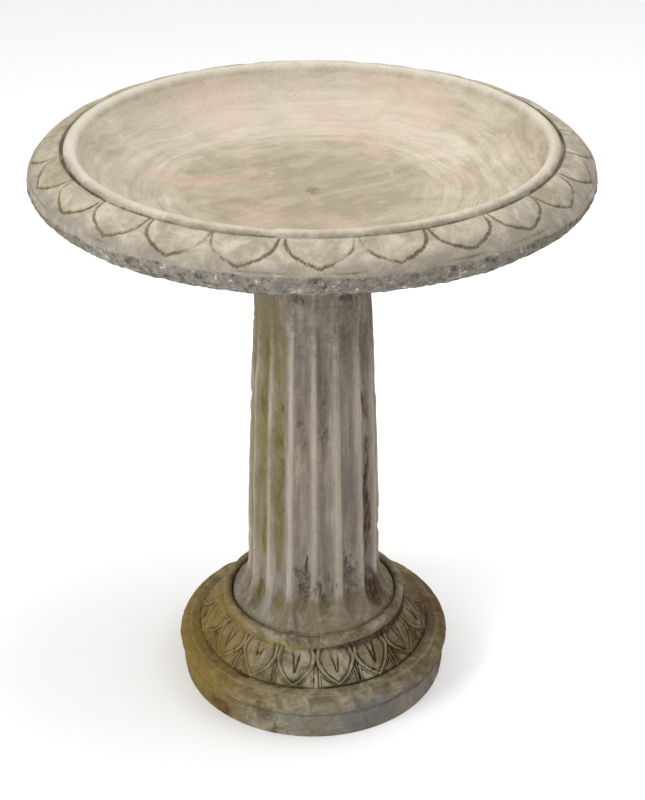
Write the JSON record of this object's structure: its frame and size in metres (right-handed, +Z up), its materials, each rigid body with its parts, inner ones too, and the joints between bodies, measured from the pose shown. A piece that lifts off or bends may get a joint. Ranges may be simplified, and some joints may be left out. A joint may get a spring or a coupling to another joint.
{
  "type": "bird bath",
  "caption": "Round shallow bowl with petal rim on a fluted column and moulded round base; bowl and column turn and lift off on dowels.",
  "frame": {"origin": "on the ground at the centre of the base", "axes": "+Z up along the axis of the column, -Y towards the front"},
  "size_m": [0.533, 0.533, 0.61],
  "materials": {
    "base_stone": "weathered cast stone, mossy",
    "column_stone": "weathered cast stone, streaked",
    "bowl_stone": "weathered cast stone, stained by water",
    "dowel_steel": "galvanised, dull",
    "reinforcing_steel": "mill scale with light rust"
  },
  "bodies": {
    "base": {"base": "base_stone", "base_hoop": "reinforcing_steel"},
    "lower_dowel": {"lower_dowel": "dowel_steel"},
    "shaft": {"shaft": "column_stone", "shaft_bars": "reinforcing_steel", "shaft_ties": "reinforcing_steel"},
    "upper_dowel": {"upper_dowel": "dowel_steel"},
    "bowl": {"bowl": "bowl_stone", "bowl_rim_hoop": "reinforcing_steel", "bowl_floor_hoop": "reinforcing_steel", "bowl_spokes": "reinforcing_steel"}
  },
  "joints": [
    {"name": "shaft_lift", "type": "slide", "parent": "base", "child": "lower_dowel", "axis": [0, 0, 1], "range_m": [0, 0.15]},
    {"name": "shaft_turn", "type": "hinge", "parent": "lower_dowel", "child": "shaft", "pos_m": [0, 0, 0.08], "axis": [0, 0, 1], "continuous": true},
    {"name": "bowl_lift", "type": "slide", "parent": "shaft", "child": "upper_dowel", "axis": [0, 0, 1], "range_m": [0, 0.15]},
    {"name": "bowl_turn", "type": "hinge", "parent": "upper_dowel", "child": "bowl", "pos_m": [0, 0, 0.508], "axis": [0, 0, 1], "continuous": true}
  ]
}
